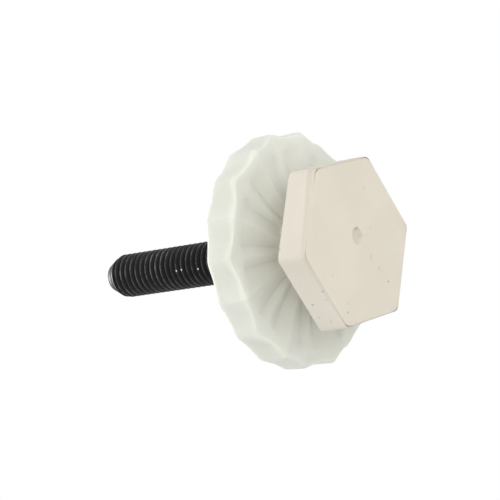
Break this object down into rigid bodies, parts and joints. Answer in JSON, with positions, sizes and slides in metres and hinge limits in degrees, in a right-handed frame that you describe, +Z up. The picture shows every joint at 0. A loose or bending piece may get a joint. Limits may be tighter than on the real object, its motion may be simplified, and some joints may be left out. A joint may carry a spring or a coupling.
{
  "type": "adjustable washing machine foot",
  "caption": "Adjustable appliance foot: a hexagonal plastic foot moulded on a black threaded stud, with a scalloped hand lock nut whose face is folded like a fan.",
  "frame": {"origin": "centre of the hexagonal foot's floor face", "axes": "+Z up along the stud, away from the floor; +X through a corner of the hexagon"},
  "size_m": [0.0511, 0.0511, 0.0684],
  "materials": {
    "foot_plastic": "matt moulded cream plastic",
    "black_steel": "black phosphated steel",
    "natural_nylon": "pale translucent nylon with a satin skin"
  },
  "bodies": {
    "foot": {"hex_foot": "foot_plastic", "threaded_stud": "black_steel"},
    "lock_nut": {"lock_nut": "natural_nylon"}
  },
  "joints": [
    {"name": "lock_nut_travel", "type": "slide", "parent": "foot", "child": "lock_nut", "axis": [0, 0, 1], "range_m": [-0.0059, 0.044]}
  ]
}
